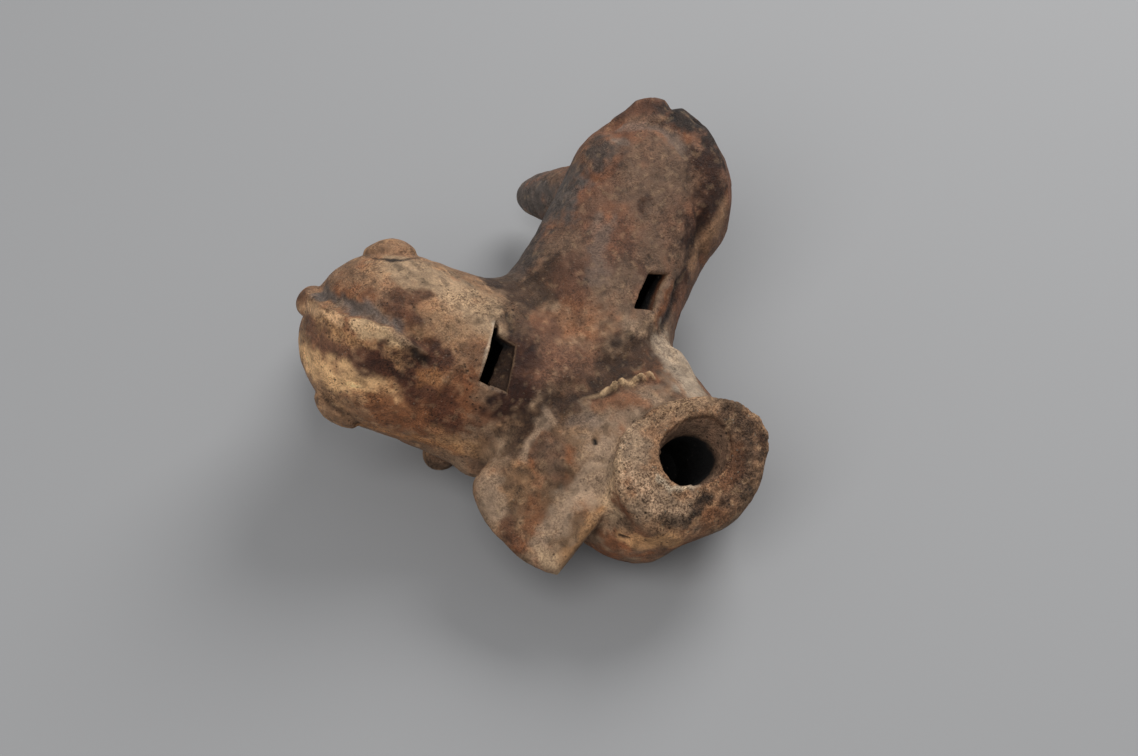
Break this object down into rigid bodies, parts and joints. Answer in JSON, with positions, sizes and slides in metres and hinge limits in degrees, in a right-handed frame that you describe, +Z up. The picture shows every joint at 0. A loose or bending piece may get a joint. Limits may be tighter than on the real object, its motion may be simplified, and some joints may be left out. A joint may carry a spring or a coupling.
{
  "type": "double whistle",
  "caption": "Fired-clay double whistle with hollow bird-headed chambers, spread from a rounded body and blown through a tail-like mouthpiece.",
  "frame": {"origin": "centre of the small flat patch under the belly that the whistle rests on", "axes": "+Z up, +Y the way the birds face, +X towards the whistle's right side; the mouthpiece points to -Y and up"},
  "size_m": [0.0842, 0.086, 0.0398],
  "materials": {
    "body_clay": "low-fired, unglazed, worn and stained",
    "mouthpiece_clay": "low-fired, grainy and porous",
    "left_bird_clay": "low-fired, burnished and pitted",
    "right_bird_clay": "low-fired, smoke-darkened",
    "beak_clay": "low-fired, slate grey",
    "eye_clay": "low-fired, pale tan",
    "wing_clay": "low-fired, mottled tan"
  },
  "bodies": {
    "root": {"body": "body_clay", "mouthpiece": "mouthpiece_clay", "chamber_left": "left_bird_clay", "chamber_right": "right_bird_clay", "crest_left": "left_bird_clay", "crest_right": "right_bird_clay", "beak_left": "left_bird_clay", "beak_right": "beak_clay", "eye_left_inner": "eye_clay", "eye_left_outer": "eye_clay", "eye_right_inner": "right_bird_clay", "eye_right_outer": "right_bird_clay", "wing_left": "wing_clay", "wing_right": "wing_clay", "leg_left": "body_clay", "leg_right": "body_clay"}
  },
  "joints": []
}
